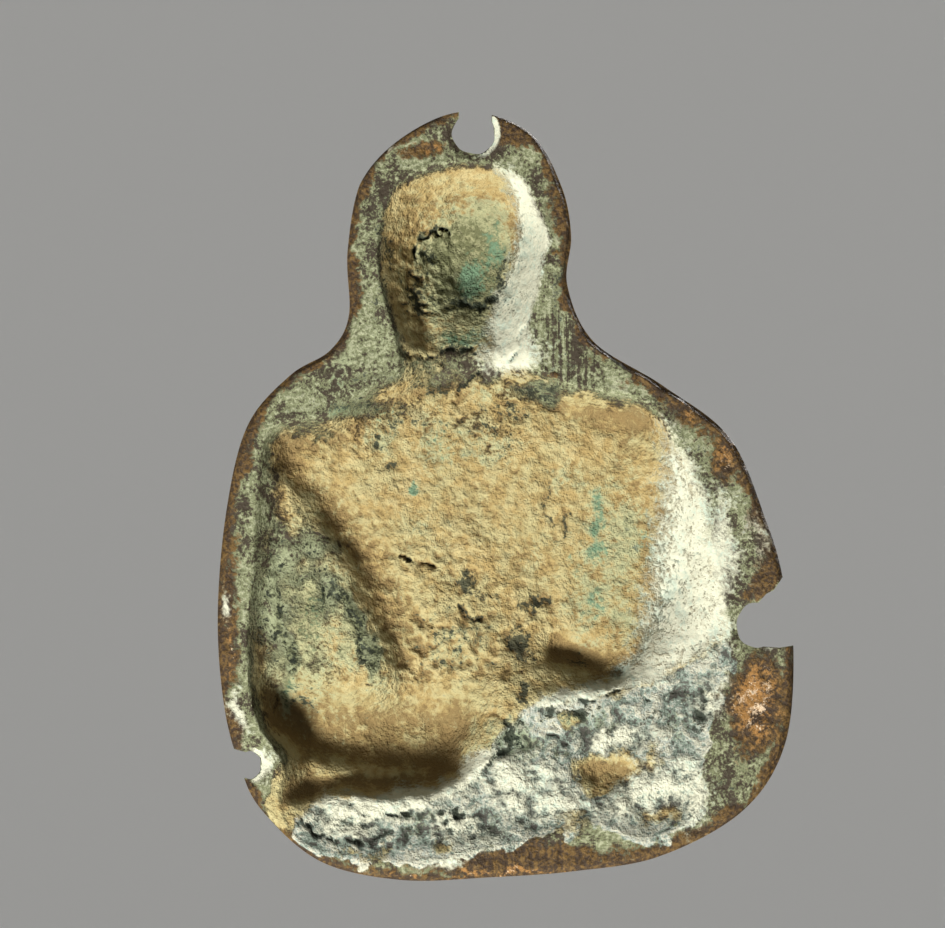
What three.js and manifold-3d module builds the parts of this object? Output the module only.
// Bronze plaquette: a seated figure in relief on a thin sheet with a flat rim, hollow at the back.
// Millimetres. +Z is up, the relief faces -Y, and the back of the rim lies in the plane y = 0.
import * as THREE from "three";
import { mergeVertices } from "three/addons/utils/BufferGeometryUtils.js";
import Module from "manifold-3d";

// Sheet and rim.
const SHEET = 0.75; // thickness of the bronze
const LIP = 0.12; // crisp step where the rim drops into the hollow
const SHELL_REACH = 1.15; // sheets of reach that keep the shell one sheet thick on steep walls
const SHELL_SHARES = [0.6, 0.92]; // shares of that reach at which the floor is felt
const NODE = "plaquette";

// Knots of the outline and of the mouth of the hollow, as [x, z].
const OUTLINE = [
  [2.7, 60.5], [-2.4, 58.7], [-4.9, 54.3], [-5.7, 50.3], [-5.4, 46.3], [-7.5, 41.8],
  [-13.0, 38.3], [-18.4, 34.1], [-21.3, 27.5], [-22.6, 23.1], [-23.5, 17.1], [-22.8, 9.5],
  [-19.4, 4.2], [-12.8, 0.6], [-6.0, -0.6], [0.8, -1.1], [8.0, -1.3], [14.4, 0.2],
  [19.0, 4.2], [20.8, 7.7], [22.1, 12.7], [22.6, 19.9], [21.9, 28.3], [20.2, 35.1],
  [16.8, 39.1], [13.6, 41.1], [12.1, 43.9], [12.2, 49.1], [11.0, 54.9], [7.6, 58.6],
];
const MOUTH = [
  [2.2, 56.2], [-1.2, 55.3], [-3.0, 53.0], [-3.7, 50.2], [-3.1, 46.3], [-2.4, 42.3],
  [-2.7, 40.2], [-6.0, 38.4], [-11.2, 37.3], [-13.8, 34.7], [-15.8, 30.7], [-17.0, 25.5],
  [-18.2, 20.3], [-18.3, 16.3], [-17.3, 11.5], [-16.1, 7.1], [-15.2, 3.4], [-11.2, 2.1],
  [-7.7, 3.2], [-3.6, 2.1], [0.8, 1.3], [5.6, 0.3], [11.2, 0.4], [16.0, 1.8],
  [17.7, 4.7], [17.6, 8.2], [19.6, 11.7], [20.3, 17.1], [19.8, 23.5], [19.4, 29.9],
  [18.4, 34.9], [13.6, 36.0], [11.4, 37.6], [8.3, 39.4], [8.5, 42.3], [9.6, 46.3],
  [9.8, 50.3], [8.3, 54.3], [5.2, 55.9],
];
// Knots at the four turns of each loop: head left, foot left, foot right, head right.
const OUTLINE_TURNS = [2, 12, 18, 28];
const MOUTH_TURNS = [2, 16, 24, 37];

// Grid of the front: rows are closer over the head, where the face is.
const FRONT_COLUMNS = 41;
const HEAD_ROW = 0.6;
const SHOULDER_ROW = 0.85;
const BODY_ROW = 1.08;
const SHOULDER_Z = 34;
const NECK_Z = 41;
// Grid of the hollow.
const HOLLOW_COLUMNS = 31;
const HOLLOW_ROWS = 52;

// Nail holes, each broken open at the edge of the rim.
const NAIL_HOLE_HALF_SIDES = 14;
const CUT_LENGTH = 8;
const ARC_STEPS = 24; // steps between two knots where a loop is measured along
const MOUTH_STEPS = 10; // the same where the distance to the mouth is measured
const NAIL_HOLES = [
  { x: 2.1, z: 58.5, r: 1.7, gap: [[0.7, 58.6], [3.1, 58.6], [3.2, 62], [0.6, 62]] },
  {
    x: -20.7,
    z: 19.1,
    r: 1.8,
    gap: [[-20.6, 20.8], [-22.6, 22.9], [-25, 23.6], [-25, 17.7], [-20.9, 17.4]],
  },
  { x: 20.2, z: 7.9, r: 1.1, gap: [[20.2, 8.9], [20.2, 6.9], [23, 6.2], [23, 9.6]] },
];

// Depths of the hollow below the plane of the rim.
const TORSO_DEPTH = 3.5;
const HEAD_DEPTH = 3.2;
const NECK_RISE = 1.1; // step in the floor below the chin
const NECK_LEDGE_Z = 40.2;
const NECK_LEDGE_REACH = 1.7;
const UPPER_ARM_DEPTH = 2.1;
const FOREARM_TRENCH = { depth: 2.5, reach: 2.3 };
const FAR_FOREARM_TRENCH = { depth: 1.6, reach: 1.1 };
const CREST_RISE = 1.6; // swell of the floor towards the crest of the lap
const CREST_REACH = 2.6;
const LAP_DEPTH = 1.15;
const LAP_FALL = 0.85; // true distance for each millimetre straight down from the crest
const ARM_EDGE = [-1.7, 1.4]; // where the upper arm's edge starts and ends, across it
const CREST_EDGE = [-1.6, 1.0]; // the same for the crest of the lap
const WALL_POWER = 1.2; // above 1 for a softer turn at the rim
// Widths of the walls at the mouth, and what some of them gain further along.
const WALLS = { far: 2.6, farShoulder: 3.0, near: 2.4, foot: 0.6, head: 3.1, crown: 0.9 };

// Swells of the floor, as [depth, x, z, radius in x, radius in z].
const TORSO_SWELLS = [
  [1.0, -1.0, 20.0, 13.0, 9.0], [0.5, -9.0, 28.0, 7.0, 8.0], [0.3, 4.0, 30.0, 8.0, 6.0],
  [-0.7, 1.0, 16.0, 6.0, 4.5],
];
const HEAD_SWELLS = [[1.8, 2.9, 48.6, 5.6, 5.2]];
const ARM_SWELLS = [[0.25, 15.0, 16.0, 3.0, 4.0]];
const LAP_SWELLS = [
  [1.5, -8.4, 7.0, 1.8, 1.4], [0.7, -4.8, 10.3, 4.0, 2.2], [-0.4, -1.6, 8.3, 3.4, 2.5],
  [0.8, 15.4, 6.0, 2.0, 1.6],
];

// Lines the forms follow, as [x, z].
const UPPER_ARM_LINE = [[17.0, 28.0], [15.6, 22.5], [13.4, 15.2]];
const UPPER_ARM_RADII = [[10, 4.9], [17, 4.8], [24, 3.9], [31, 1.6]]; // as [z, radius]
const FOREARM_LINE = [[18.4, 14.6], [17.0, 11.6], [13.6, 9.6], [9.0, 8.9], [4.0, 9.1]];
const FAR_FOREARM_LINE = [[-5.0, 16.5], [-8.0, 16.2], [-9.8, 16.8]];
const LAP_CREST = [
  [-19.0, 19.0], [-16.0, 17.0], [-13.0, 15.2], [-9.6, 14.0], [-6.0, 13.6], [-2.4, 12.9],
  [0.0, 11.0], [1.2, 8.6], [2.6, 7.0], [5.6, 5.6], [9.0, 5.3], [12.8, 5.6], [16.5, 4.8],
  [20.0, 3.6],
];

// Figure on the front. Limbs are rounded forms along a line of [x, z].
const HEAD = { x: 3.0, z: 49.0, rx: 7.4, rz: 8.1, height: 6.3, power: 2.6 };
const FACE = { z: 48.2, rx: 5.0, rz: 6.6, set: 0.45 };
const CHEST = { x: 1.0, z: 22.5, rx: 17.5, rz: 18.0, height: 5.0, power: 3 };
const CHEST_BY_ARM = 2.6; // height of the chest where the upper arm covers it
const SKIRT = 4; // fall of a form's height outside its outline
const EYE_SPACING = 2.1;
const EYE_Z = 49.0;
const BROW_Z = 51.0;
const NOSE_BASE_Z = 45.5;
const LIP_Z = 44.1;
const CHIN_Z = 42.6;
// Mounds of the face, as [height, x from its middle line, z, radius in x, radius in z].
const PAIRED_MOUNDS = [
  [-0.85, EYE_SPACING - 0.2, EYE_Z + 0.3, 1.4, 1.05],
  [0.75, EYE_SPACING, EYE_Z, 1.0, 0.65],
  [0.45, 0.95, NOSE_BASE_Z + 0.2, 0.45, 0.55],
  [0.35, 2.7, 46.6, 1.4, 1.7],
];
const MIDDLE_MOUNDS = [
  [0.6, 0, LIP_Z + 0.45, 1.35, 0.42],
  [0.6, 0, LIP_Z - 0.5, 1.1, 0.42],
  [-0.25, 0, LIP_Z, 1.6, 0.25],
  [0.6, 0, CHIN_Z, 1.5, 0.85],
];
const EARS = [[0.6, 5.5, 48.0, 0.75, 1.6]];
const BROW = { height: 0.35, half: 0.6, bow: 0.12 };
const NOSE = { height: 1.15, bridge: 0.3, wide: 1.1, narrow: 0.6 };
const FOLD_PITCH = 4.0;
const FOLD_HEIGHT = 0.3;
const COLLAR_HEIGHT = 0.4;
const COLLAR_EDGES = [1.7, 0.8]; // distances from its line over which a collar rises
const COLLAR = [[8.4, 39.0], [5.4, 34.0], [1.0, 28.6], [-4.6, 23.8], [-9.0, 18.6]];
const UNDER_COLLAR = [[-3.0, 39.0], [-1.2, 34.5], [1.8, 30.0]];
const NECK = { line: [[3.0, 43.0], [2.8, 37.0]], radius: 3.6, height: 5.2 };
const HAIR_FALL = { line: [[8.6, 46.5], [9.0, 40.0]], radius: 2.3, height: 4.4 };
const FAR_HAIR_FALL = { line: [[-2.4, 46.5], [-3.2, 40.0]], radius: 2.3, height: 4.4 };
const SLEEVE = { line: [[15.4, 31.0], [16.0, 22.0], [15.8, 13.0]], radius: 5.6, height: 4.3 };
const FAR_SLEEVE = { line: [[-12.0, 31.5], [-14.4, 24.0], [-15.2, 18.0]], radius: 5.2, height: 5.0 };
const OVER_SHIN = { line: [[-14.6, 8.8], [-6.0, 6.8], [7.0, 7.6]], radius: 4.4, height: 5.3 };
const UNDER_SHIN = { line: [[15.2, 5.2], [5.0, 3.2], [-7.0, 3.8]], radius: 3.8, height: 5.6 };
const FOREARM = { line: [[17.2, 12.0], [13.0, 10.0], [5.6, 10.4]], radius: 3.1, height: 6.6 };
const FAR_FOREARM = { line: [[-15.2, 17.6], [-9.0, 15.8], [-4.6, 15.0]], radius: 3.1, height: 6.4 };
const UNDER_HAND = { line: [[6.0, 10.6], [-1.4, 11.0]], radius: 2.1, height: 6.6 };
const OVER_HAND = { line: [[-5.4, 14.4], [2.4, 12.6]], radius: 2.3, height: 7.1 };
// Parts of the body in the order they lie on each other, with the blend at their edges.
const CLOTHED_PARTS = [
  [NECK, 0.8], [HAIR_FALL, 0.6], [FAR_HAIR_FALL, 0.6], [SLEEVE, 0.7], [FAR_SLEEVE, 0.7],
];
const TOP_PARTS = [[FOREARM, 0.4], [FAR_FOREARM, 0.4], [UNDER_HAND, 0.3], [OVER_HAND, 0.3]];
const SOFT_BLEND = 0.5; // blend of the larger forms

const clamp = (t) => Math.min(Math.max(t, 0), 1);
const ease = (from, to, t) => {
  const s = clamp((t - from) / (to - from));
  return s * s * (3 - 2 * s);
};
const mix = (a, b, t) => a + (b - a) * t;
const hill = (x, z, cx, cz, rx, rz) => Math.exp(-(((x - cx) / rx) ** 2) - ((z - cz) / rz) ** 2);

/** The larger of two heights, blended over a range of k. */
function blendMax(a, b, k) {
  const h = clamp(0.5 + (0.5 * (a - b)) / k);
  return mix(b, a, h) + k * h * (1 - h);
}

/** Distance from (x, z) to an open line of [x, z] points. */
function lineDistance(x, z, line) {
  let best = Infinity;
  for (let i = 0; i + 1 < line.length; i += 1) {
    const [ax, az] = line[i];
    const vx = line[i + 1][0] - ax;
    const vz = line[i + 1][1] - az;
    const t = clamp(((x - ax) * vx + (z - az) * vz) / (vx * vx + vz * vz));
    best = Math.min(best, Math.hypot(x - ax - t * vx, z - az - t * vz));
  }
  return best;
}

/** Value at t on a line of [position, value] points with rising positions. */
function valueAlong(t, line) {
  if (t <= line[0][0]) return line[0][1];
  for (let i = 0; i + 1 < line.length; i += 1) {
    const [a, va] = line[i];
    const [b, vb] = line[i + 1];
    if (t <= b) return mix(va, vb, (t - a) / (b - a));
  }
  return line[line.length - 1][1];
}

/** A closed smooth loop through knots. */
function loopOf(knots) {
  const points = knots.map(([x, z]) => new THREE.Vector3(x, 0, z));
  return new THREE.CatmullRomCurve3(points, true, "catmullrom", 0.5);
}

/** Points on a loop from one knot to a later one, close enough to measure along. */
function arcPoints(loop, from, to) {
  const knots = loop.points.length;
  const steps = (to - from) * ARC_STEPS;
  const points = [];
  for (let i = 0; i <= steps; i += 1) {
    const at = (from + ((to - from) * i) / steps) / knots;
    const p = loop.getPoint(at % 1);
    points.push([p.x, p.z]);
  }
  return points;
}

/** Evenly spaced points along a line, with its ends. */
function evenly(points, count) {
  const run = [0];
  for (let i = 1; i < points.length; i += 1) {
    const step = Math.hypot(points[i][0] - points[i - 1][0], points[i][1] - points[i - 1][1]);
    run.push(run[i - 1] + step);
  }
  const xs = points.map((p, i) => [run[i], p[0]]);
  const zs = points.map((p, i) => [run[i], p[1]]);
  const total = run[run.length - 1];
  return Array.from({ length: count + 1 }, (_, i) => {
    const at = (total * i) / count;
    return [valueAlong(at, xs), valueAlong(at, zs)];
  });
}

/** Points at given heights on a line that only rises. */
function atHeights(points, heights) {
  const xs = points.map(([x, z]) => [z, x]);
  return heights.map((z) => [valueAlong(z, xs), z]);
}

/** Heights of the rows of the front, from foot to head. */
function frontRows(foot, head) {
  const rows = [foot];
  for (let z = foot; z < head; rows.push(z)) {
    if (z < SHOULDER_Z) z += BODY_ROW;
    else z += z < NECK_Z ? SHOULDER_ROW : HEAD_ROW;
  }
  const stretch = (head - foot) / (rows[rows.length - 1] - foot);
  return rows.map((z) => foot + (z - foot) * stretch);
}

const mouthLine = (() => {
  const line = loopOf(MOUTH).getPoints(MOUTH.length * MOUTH_STEPS);
  return line.map((p) => [p.x, p.z]);
})();

/** Signed distance to the mouth of the hollow, positive inside it. */
function insideMouth(x, z) {
  let inside = false;
  for (let i = 0; i + 1 < mouthLine.length; i += 1) {
    const [ax, az] = mouthLine[i];
    const [bx, bz] = mouthLine[i + 1];
    if (az > z !== bz > z && x < ax + ((z - az) * (bx - ax)) / (bz - az)) inside = !inside;
  }
  const far = lineDistance(x, z, mouthLine);
  return inside ? far : -far;
}

/** Sum of mounds, each [height, x, z, radius in x, radius in z], at (x, z). */
const mounds = (x, z, list) =>
  list.reduce((sum, [height, cx, cz, rx, rz]) => sum + height * hill(x, z, cx, cz, rx, rz), 0);

/** Share of the upper arm, which stands back from the chest: 1 on it, 0 off it. */
function upperArm(x, z) {
  const off = lineDistance(x, z, UPPER_ARM_LINE) - valueAlong(z, UPPER_ARM_RADII);
  return (1 - ease(...ARM_EDGE, off)) * ease(33, 28, z);
}

/** Share of a furrow along a line, falling off over its reach. */
function furrow(x, z, line, reach, power) {
  return Math.exp(-((lineDistance(x, z, line) / reach) ** power));
}

/** Depth of the hollow below the rim at (x, z). */
function hollowDepth(x, z) {
  const edge = insideMouth(x, z);
  if (edge <= 0) return 0;
  const torso = TORSO_DEPTH + mounds(x, z, TORSO_SWELLS);
  const head = HEAD_DEPTH + mounds(x, z, HEAD_SWELLS);
  let floor = mix(torso, head, ease(38.4, 42.2, z));
  floor -= NECK_RISE * Math.exp(-(((z - NECK_LEDGE_Z) / NECK_LEDGE_REACH) ** 2));
  const arm = upperArm(x, z);
  floor = mix(floor, UPPER_ARM_DEPTH + mounds(x, z, ARM_SWELLS), arm);
  const trench = furrow(x, z, FOREARM_LINE, FOREARM_TRENCH.reach, 3);
  floor += (FOREARM_TRENCH.depth + arm) * trench * ease(16, 11, z);
  floor += FAR_FOREARM_TRENCH.depth * furrow(x, z, FAR_FOREARM_LINE, FAR_FOREARM_TRENCH.reach, 2);
  const below = LAP_FALL * (valueAlong(x, LAP_CREST) - z);
  const nearCrest = Math.exp(-((Math.max(-below, 0) / CREST_REACH) ** 2));
  floor -= CREST_RISE * nearCrest * ease(4.2, 0.5, x) * ease(-14, -10, x);
  const lap = LAP_DEPTH - 0.4 * ease(1, 6, x) + mounds(x, z, LAP_SWELLS);
  floor = mix(floor, lap, ease(...CREST_EDGE, below));
  const farWall = WALLS.far + WALLS.farShoulder * ease(36, 31, z) * ease(12, 17, z);
  const bodyWall = mix(WALLS.near + WALLS.foot * ease(8, 4, z), farWall, ease(4, -6, x));
  const headWall = WALLS.head + WALLS.crown * ease(50, 55, z);
  const wall = mix(headWall, bodyWall, ease(40, 37, z));
  const ramp = Math.sin(clamp(edge / wall) * (Math.PI / 2)) ** WALL_POWER;
  return LIP + Math.max(floor - LIP, 0) * ramp;
}

/** Height of the sheet over the hollow, one sheet thick in every direction. */
function shellHeight(x, z) {
  let height = SHEET + hollowDepth(x, z);
  for (const share of SHELL_SHARES) {
    const reach = SHELL_REACH * SHEET * share;
    const rise = SHELL_REACH * SHEET * Math.sqrt(1 - share * share);
    for (let i = 0; i < 8; i += 1) {
      const turn = (i * Math.PI) / 4;
      const depth = hollowDepth(x + reach * Math.cos(turn), z + reach * Math.sin(turn));
      if (depth > 0) height = Math.max(height, depth + rise);
    }
  }
  return height;
}

/** Height of a rounded limb along its line. */
function limb(x, z, { line, radius, height }) {
  const off = lineDistance(x, z, line) / radius;
  if (off >= 1) return SHEET - (off - 1) * radius * 3;
  return SHEET + (height - SHEET) * Math.sqrt(1 - off * off);
}

/** Share of a rounded outline: 1 in its middle, 0 on it and negative outside. */
const inRound = (x, z, { x: cx, z: cz, rx, rz, power }) =>
  1 - Math.abs((x - cx) / rx) ** power - Math.abs((z - cz) / rz) ** power;

/** Height the features of the face add to the head, u from its middle line. */
function faceFeatures(u, z) {
  const side = Math.abs(u);
  const noseWidth = mix(NOSE.wide, NOSE.narrow, ease(NOSE_BASE_Z, BROW_Z, z));
  const fall = ease(BROW_Z + 0.3, NOSE_BASE_Z + 0.2, z);
  const nose = fall * ease(NOSE_BASE_Z - 0.8, NOSE_BASE_Z + 0.1, z);
  const brow = (z - BROW_Z + BROW.bow * (side - EYE_SPACING) ** 2) / BROW.half;
  return (
    BROW.height * Math.exp(-brow * brow) * ease(4.3, 3.3, side) +
    (NOSE.bridge + NOSE.height * nose) * nose * Math.exp(-((u / noseWidth) ** 2)) +
    mounds(side, z, PAIRED_MOUNDS) +
    mounds(u, z, MIDDLE_MOUNDS)
  );
}

/** Height of the head with its hair, ears and face. */
function headHeight(x, z) {
  const round = inRound(x, z, HEAD);
  if (round <= 0) return SHEET + SKIRT * round;
  const u = x - HEAD.x;
  const skull = SHEET + HEAD.height * Math.sqrt(round);
  const oval = Math.hypot(u / FACE.rx, (z - FACE.z) / FACE.rz);
  const onFace = ease(1.08, 0.93, oval);
  return skull + (faceFeatures(u, z) - FACE.set) * onFace + mounds(Math.abs(u), z, EARS);
}

/** Soft folds of cloth at a distance along their run. */
const folds = (run) => FOLD_HEIGHT * Math.cos((run * 2 * Math.PI) / FOLD_PITCH);

/** Height of the chest with its crossed collar. */
function chestHeight(x, z) {
  const round = inRound(x, z, CHEST);
  if (round <= 0) return SHEET + SKIRT * round;
  const collar = lineDistance(x, z, COLLAR);
  const under = lineDistance(x, z, UNDER_COLLAR);
  const covered = ease(0.9, 1.9, collar);
  const band = ease(...COLLAR_EDGES, collar) + 0.8 * ease(...COLLAR_EDGES, under) * covered;
  return SHEET + CHEST.height * Math.sqrt(round) + COLLAR_HEIGHT * band;
}

/** Height of the crossed legs under cloth that hangs in curves between the knees. */
function legsHeight(x, z) {
  const legs = blendMax(limb(x, z, OVER_SHIN), limb(x, z, UNDER_SHIN), SOFT_BLEND);
  return legs + 0.8 * folds(Math.hypot(0.55 * (x - 1), z - 27));
}

/** Height of the draped body, arms, hands and crossed legs. */
function bodyHeight(x, z) {
  const arm = upperArm(x, z);
  const farArm = ease(5.0, 3.2, lineDistance(x, z, FAR_SLEEVE.line));
  const lay = (body, [form, blend]) => blendMax(body, limb(x, z, form), blend);
  let body = CLOTHED_PARTS.reduce(lay, mix(chestHeight(x, z), CHEST_BY_ARM, arm));
  body += folds(z + 0.7 * x) * arm + folds(z - 0.7 * x) * farArm * ease(34, 31, z);
  return TOP_PARTS.reduce(lay, blendMax(body, legsHeight(x, z), SOFT_BLEND));
}

/** Height of the front above the plane of the back of the rim. */
function frontHeight(x, z) {
  const figure = blendMax(bodyHeight(x, z), headHeight(x, z), SOFT_BLEND);
  const kept = mix(SHEET, figure, ease(-1.1, 0.6, insideMouth(x, z)));
  return Math.max(shellHeight(x, z), kept);
}

/** A grid of [x, z] points that fills a loop, its sides lying on the loop. */
function fillLoop(knots, [headLeft, footLeft, footRight, headRight], columns, rows) {
  const loop = loopOf(knots);
  const left = arcPoints(loop, headLeft, footLeft).reverse();
  const foot = evenly(arcPoints(loop, footLeft, footRight), columns);
  const right = arcPoints(loop, footRight, headRight);
  const head = evenly(arcPoints(loop, headRight, headLeft + knots.length), columns).reverse();
  const [lefts, rights] = rows(left, right);
  const count = lefts.length - 1;
  const bow = (side, i) => {
    const u = i / columns;
    const [ax, az] = side[0];
    const [bx, bz] = side[columns];
    return [side[i][0] - mix(ax, bx, u), side[i][1] - mix(az, bz, u)];
  };
  return lefts.map((from, j) => {
    const v = j / count;
    return foot.map((_, i) => {
      const u = i / columns;
      const [fx, fz] = bow(foot, i);
      const [hx, hz] = bow(head, i);
      const low = (1 - v) ** 3;
      const high = v ** 4;
      return [
        mix(from[0], rights[j][0], u) + low * fx + high * hx,
        mix(from[1], rights[j][1], u) + low * fz + high * hz,
      ];
    });
  });
}

/** A closed solid between a height grid and a flat lid, its height measured towards -Y. */
function solidUnder(grid, heightAt, lidY) {
  const rows = grid.length;
  const columns = grid[0].length;
  const positions = [];
  grid.forEach((row) => row.forEach(([x, z]) => positions.push(x, -heightAt(x, z), z)));
  const at = (i, j) => j * columns + i;
  const step = (k, l) => Math.abs(positions[3 * k + 1] - positions[3 * l + 1]);
  const slopesAlong = (a, c, b, d, i, j) => {
    const atSide = (i === 0 || i + 2 === columns) && (j === 0 || j + 2 === rows);
    return atSide ? i < columns / 2 === j < rows / 2 : step(a, c) < step(b, d);
  };
  const triangles = [];
  for (let j = 0; j + 1 < rows; j += 1) {
    for (let i = 0; i + 1 < columns; i += 1) {
      const [a, b, c, d] = [at(i, j), at(i + 1, j), at(i + 1, j + 1), at(i, j + 1)];
      if (slopesAlong(a, c, b, d, i, j)) triangles.push([a, b, c], [a, c, d]);
      else triangles.push([a, b, d], [b, c, d]);
    }
  }
  const rim = [];
  for (let i = 0; i + 1 < columns; i += 1) rim.push(at(i, 0));
  for (let j = 0; j + 1 < rows; j += 1) rim.push(at(columns - 1, j));
  for (let i = columns - 1; i > 0; i -= 1) rim.push(at(i, rows - 1));
  for (let j = rows - 1; j > 0; j -= 1) rim.push(at(0, j));
  const lid = positions.length / 3;
  rim.forEach((k) => positions.push(positions[3 * k], lidY, positions[3 * k + 2]));
  rim.forEach((k, n) => {
    const next = (n + 1) % rim.length;
    triangles.push([rim[next], k, lid + n], [rim[next], lid + n, lid + next]);
  });
  const corners = rim.map((k) => new THREE.Vector2(positions[3 * k], positions[3 * k + 2]));
  THREE.ShapeUtils.triangulateShape(corners, []).forEach(([a, b, c]) => {
    triangles.push([lid + c, lid + b, lid + a]);
  });
  return { positions, triangles };
}

const wasm = await Module();
wasm.setup();

/** A manifold solid from points and triangles, turned to face outwards. */
function solidFrom({ positions, triangles }) {
  const make = (faces) =>
    new wasm.Manifold(
      new wasm.Mesh({
        numProp: 3,
        vertProperties: new Float32Array(positions),
        triVerts: new Uint32Array(faces.flat()),
      }),
    );
  const solid = make(triangles);
  return solid.volume() > 0 ? solid : make(triangles.map(([a, b, c]) => [a, c, b]));
}

/** A prism through the sheet along Y, from an outline in x and z. */
function throughSheet(outline) {
  const prism = new THREE.ExtrudeGeometry(outline, {
    depth: CUT_LENGTH,
    bevelEnabled: false,
    curveSegments: NAIL_HOLE_HALF_SIDES,
  });
  prism.translate(0, 0, -CUT_LENGTH / 2).rotateX(Math.PI / 2);
  prism.deleteAttribute("normal");
  prism.deleteAttribute("uv");
  const merged = mergeVertices(prism, 1e-4);
  const faces = Array.from(merged.index.array);
  const triangles = faces.flatMap((a, i) => (i % 3 ? [] : [[a, faces[i + 1], faces[i + 2]]]));
  return solidFrom({ positions: merged.attributes.position.array, triangles });
}

/** A round nail hole with the gap that breaks it open. */
function nailHole({ x, z, r, gap }) {
  const round = new THREE.Shape().absarc(x, z, r, 0, 2 * Math.PI);
  const torn = new THREE.Shape(gap.map(([gx, gz]) => new THREE.Vector2(gx, gz)));
  return throughSheet(round).add(throughSheet(torn));
}

/** The whole plaquette as one solid. */
function plaquetteSolid() {
  const frontGrid = fillLoop(OUTLINE, OUTLINE_TURNS, FRONT_COLUMNS, (left, right) => {
    const foot = Math.max(left[0][1], right[0][1]);
    const head = Math.min(left[left.length - 1][1], right[right.length - 1][1]);
    const heights = frontRows(foot, head);
    return [atHeights(left, heights), atHeights(right, heights)];
  });
  const hollowGrid = fillLoop(MOUTH, MOUTH_TURNS, HOLLOW_COLUMNS, (left, right) => [
    evenly(left, HOLLOW_ROWS),
    evenly(right, HOLLOW_ROWS),
  ]);
  const front = solidFrom(solidUnder(frontGrid, frontHeight, 0));
  const floor = (x, z) => Math.max(hollowDepth(x, z), LIP);
  const hollow = solidFrom(solidUnder(hollowGrid, floor, 1));
  return NAIL_HOLES.reduce((solid, hole) => solid.subtract(nailHole(hole)), front.subtract(hollow));
}

/** A three.js mesh of a manifold solid. */
function meshOf(solid, name, material) {
  const made = solid.getMesh();
  const geometry = new THREE.BufferGeometry();
  geometry.setAttribute("position", new THREE.BufferAttribute(new Float32Array(made.vertProperties), 3));
  geometry.setIndex(new THREE.BufferAttribute(new Uint32Array(made.triVerts), 1));
  geometry.computeVertexNormals();
  const mesh = new THREE.Mesh(geometry, material);
  mesh.name = name;
  return mesh;
}

const bronze = new THREE.MeshStandardMaterial({ color: 0x8f8a63, metalness: 0.3, roughness: 0.8 });
bronze.name = "patinated_bronze";

const part = new THREE.Group();
part.name = "bronze_plaquette";
part.add(meshOf(plaquetteSolid(), NODE, bronze));

export default part;
